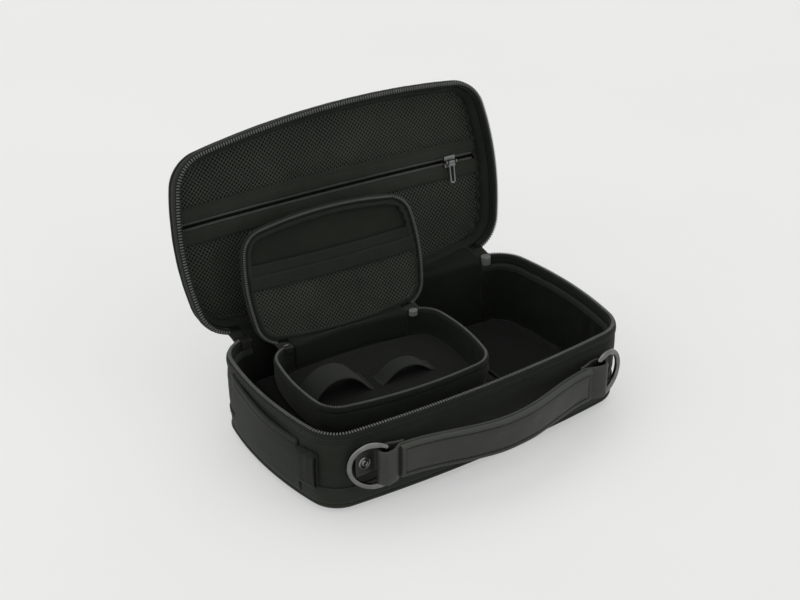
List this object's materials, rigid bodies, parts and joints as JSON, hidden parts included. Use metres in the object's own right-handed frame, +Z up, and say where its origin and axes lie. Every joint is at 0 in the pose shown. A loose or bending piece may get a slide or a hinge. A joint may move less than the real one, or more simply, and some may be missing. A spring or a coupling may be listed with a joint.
{
  "type": "cable organizer pouch",
  "caption": "Padded zip pouch with a zipped mesh lid pocket, a small zipped inner case on a padded shelf, and a leather front handle between D rings",
  "frame": {"origin": "middle of the flat bottom face the pouch stands on", "axes": "+X along the length, -Y toward the handle, +Y toward the lid hinge, +Z up"},
  "size_m": [0.256, 0.2293, 0.1847],
  "materials": {
    "shell_fabric": "matt woven polyester over foam",
    "lining_fabric": "smooth matt lining cloth",
    "piping": "ribbed binding tape",
    "zip_tape": "herringbone zip tape",
    "zip_teeth": "coil teeth",
    "mesh": "open diamond mesh",
    "elastic": "ribbed elastic",
    "webbing": "woven webbing",
    "leather": "soft grained, low sheen",
    "ring_metal": "gunmetal plating",
    "rivet_metal": "gunmetal plating",
    "zip_metal": "gunmetal plating",
    "tab_plastic": "moulded grey plastic"
  },
  "bodies": {
    "base": {"base_binding": "piping", "base_bottom_welt": "piping", "base_floor_pad": "lining_fabric", "base_lining": "lining_fabric", "base_lower_skirt": "shell_fabric", "base_shell": "shell_fabric", "base_zip_tape": "zip_tape", "base_zip_teeth": "zip_teeth", "hinge_gusset": "shell_fabric", "hinge_flap": "lining_fabric", "end_pocket_panel": "shell_fabric", "end_pocket_binding": "piping", "side_loop_tab": "webbing", "anchor_tab_left": "leather", "anchor_tab_right": "leather", "rivets": "rivet_metal", "rivet_washers": "rivet_metal", "handle_strap": "leather", "handle_grip": "leather", "zip_end_tab": "tab_plastic", "main_slider": "zip_metal", "shelf_divider": "lining_fabric"},
    "lid": {"lid_hinge_strip": "shell_fabric", "lid_lining": "lining_fabric", "lid_mesh_frame": "shell_fabric", "lid_mesh_lower": "mesh", "lid_mesh_upper": "mesh", "lid_shell": "shell_fabric", "lid_top_welt": "piping", "lid_zip_tape": "zip_tape", "lid_zip_teeth": "zip_teeth", "pocket_tape_lower": "zip_tape", "pocket_tape_upper": "zip_tape", "pocket_teeth_lower": "zip_teeth", "pocket_teeth_upper": "zip_teeth"},
    "pocket_slider": {"pocket_slider": "zip_metal"},
    "pocket_pull": {"pocket_pull": "zip_metal"},
    "main_pull": {"main_pull": "zip_metal"},
    "d_ring_left": {"d_ring_left": "ring_metal"},
    "d_ring_right": {"d_ring_right": "ring_metal"},
    "mini_case": {"mini_base_lining": "lining_fabric", "mini_base_shell": "shell_fabric", "mini_base_zip_tape": "zip_tape", "mini_base_zip_teeth": "zip_teeth", "mini_floor_panel": "lining_fabric", "mini_hinge_gusset": "shell_fabric", "mini_hinge_flap": "lining_fabric", "mini_wide_band": "elastic", "mini_stick_band": "elastic", "mini_slider": "zip_metal", "mini_zip_end_tab": "tab_plastic"},
    "mini_lid": {"mini_lid_hinge_strip": "shell_fabric", "mini_lid_lining": "lining_fabric", "mini_lid_shell": "shell_fabric", "mini_lid_zip_tape": "zip_tape", "mini_lid_zip_teeth": "zip_teeth", "mini_mesh_pocket": "mesh", "mini_mesh_elastic": "elastic", "mini_rear_elastic": "elastic"},
    "mini_pull": {"mini_pull": "zip_metal"}
  },
  "joints": [
    {"name": "lid_hinge", "type": "hinge", "parent": "base", "child": "lid", "pos_m": [0, 0.0685, 0.0543], "axis": [-1, 0, 0], "range_deg": [-104, 0]},
    {"name": "mini_lift", "type": "slide", "parent": "base", "child": "mini_case", "axis": [0, 0, 1], "range_m": [0, 0.04]},
    {"name": "mini_lid_hinge", "type": "hinge", "parent": "mini_case", "child": "mini_lid", "pos_m": [-0.02858, 0.04647, 0.0506], "axis": [-0.9969, 0.0785, 0], "range_deg": [-108.51, 0]},
    {"name": "pocket_slide", "type": "slide", "parent": "lid", "child": "pocket_slider", "axis": [0.999, -0.0106, -0.0423], "range_m": [-0.185, 0]},
    {"name": "pocket_pull_swing", "type": "hinge", "parent": "pocket_slider", "child": "pocket_pull", "pos_m": [0.09528, 0.10117, 0.11876], "axis": [-0.999, 0.0106, 0.0423], "range_deg": [0, 60]},
    {"name": "main_pull_swing", "type": "hinge", "parent": "base", "child": "main_pull", "pos_m": [-0.0988, 0.06796, 0.0564], "axis": [1, 0, 0], "range_deg": [0, 50]},
    {"name": "mini_pull_swing", "type": "hinge", "parent": "mini_case", "child": "mini_pull", "pos_m": [-0.07608, 0.04961, 0.0521], "axis": [0.9969, -0.0785, 0], "range_deg": [0, 50]},
    {"name": "d_ring_left_swing", "type": "hinge", "parent": "base", "child": "d_ring_left", "pos_m": [-0.0845, -0.0785, 0.036], "axis": [0, 0, 1], "range_deg": [0, 100]},
    {"name": "d_ring_right_swing", "type": "hinge", "parent": "base", "child": "d_ring_right", "pos_m": [0.0845, -0.0785, 0.036], "axis": [0, 0, -1], "range_deg": [0, 100]}
  ],
  "couplings": [
    {"joint": "mini_lid_hinge", "follows": "lid_hinge", "ratio": 1.0433}
  ]
}
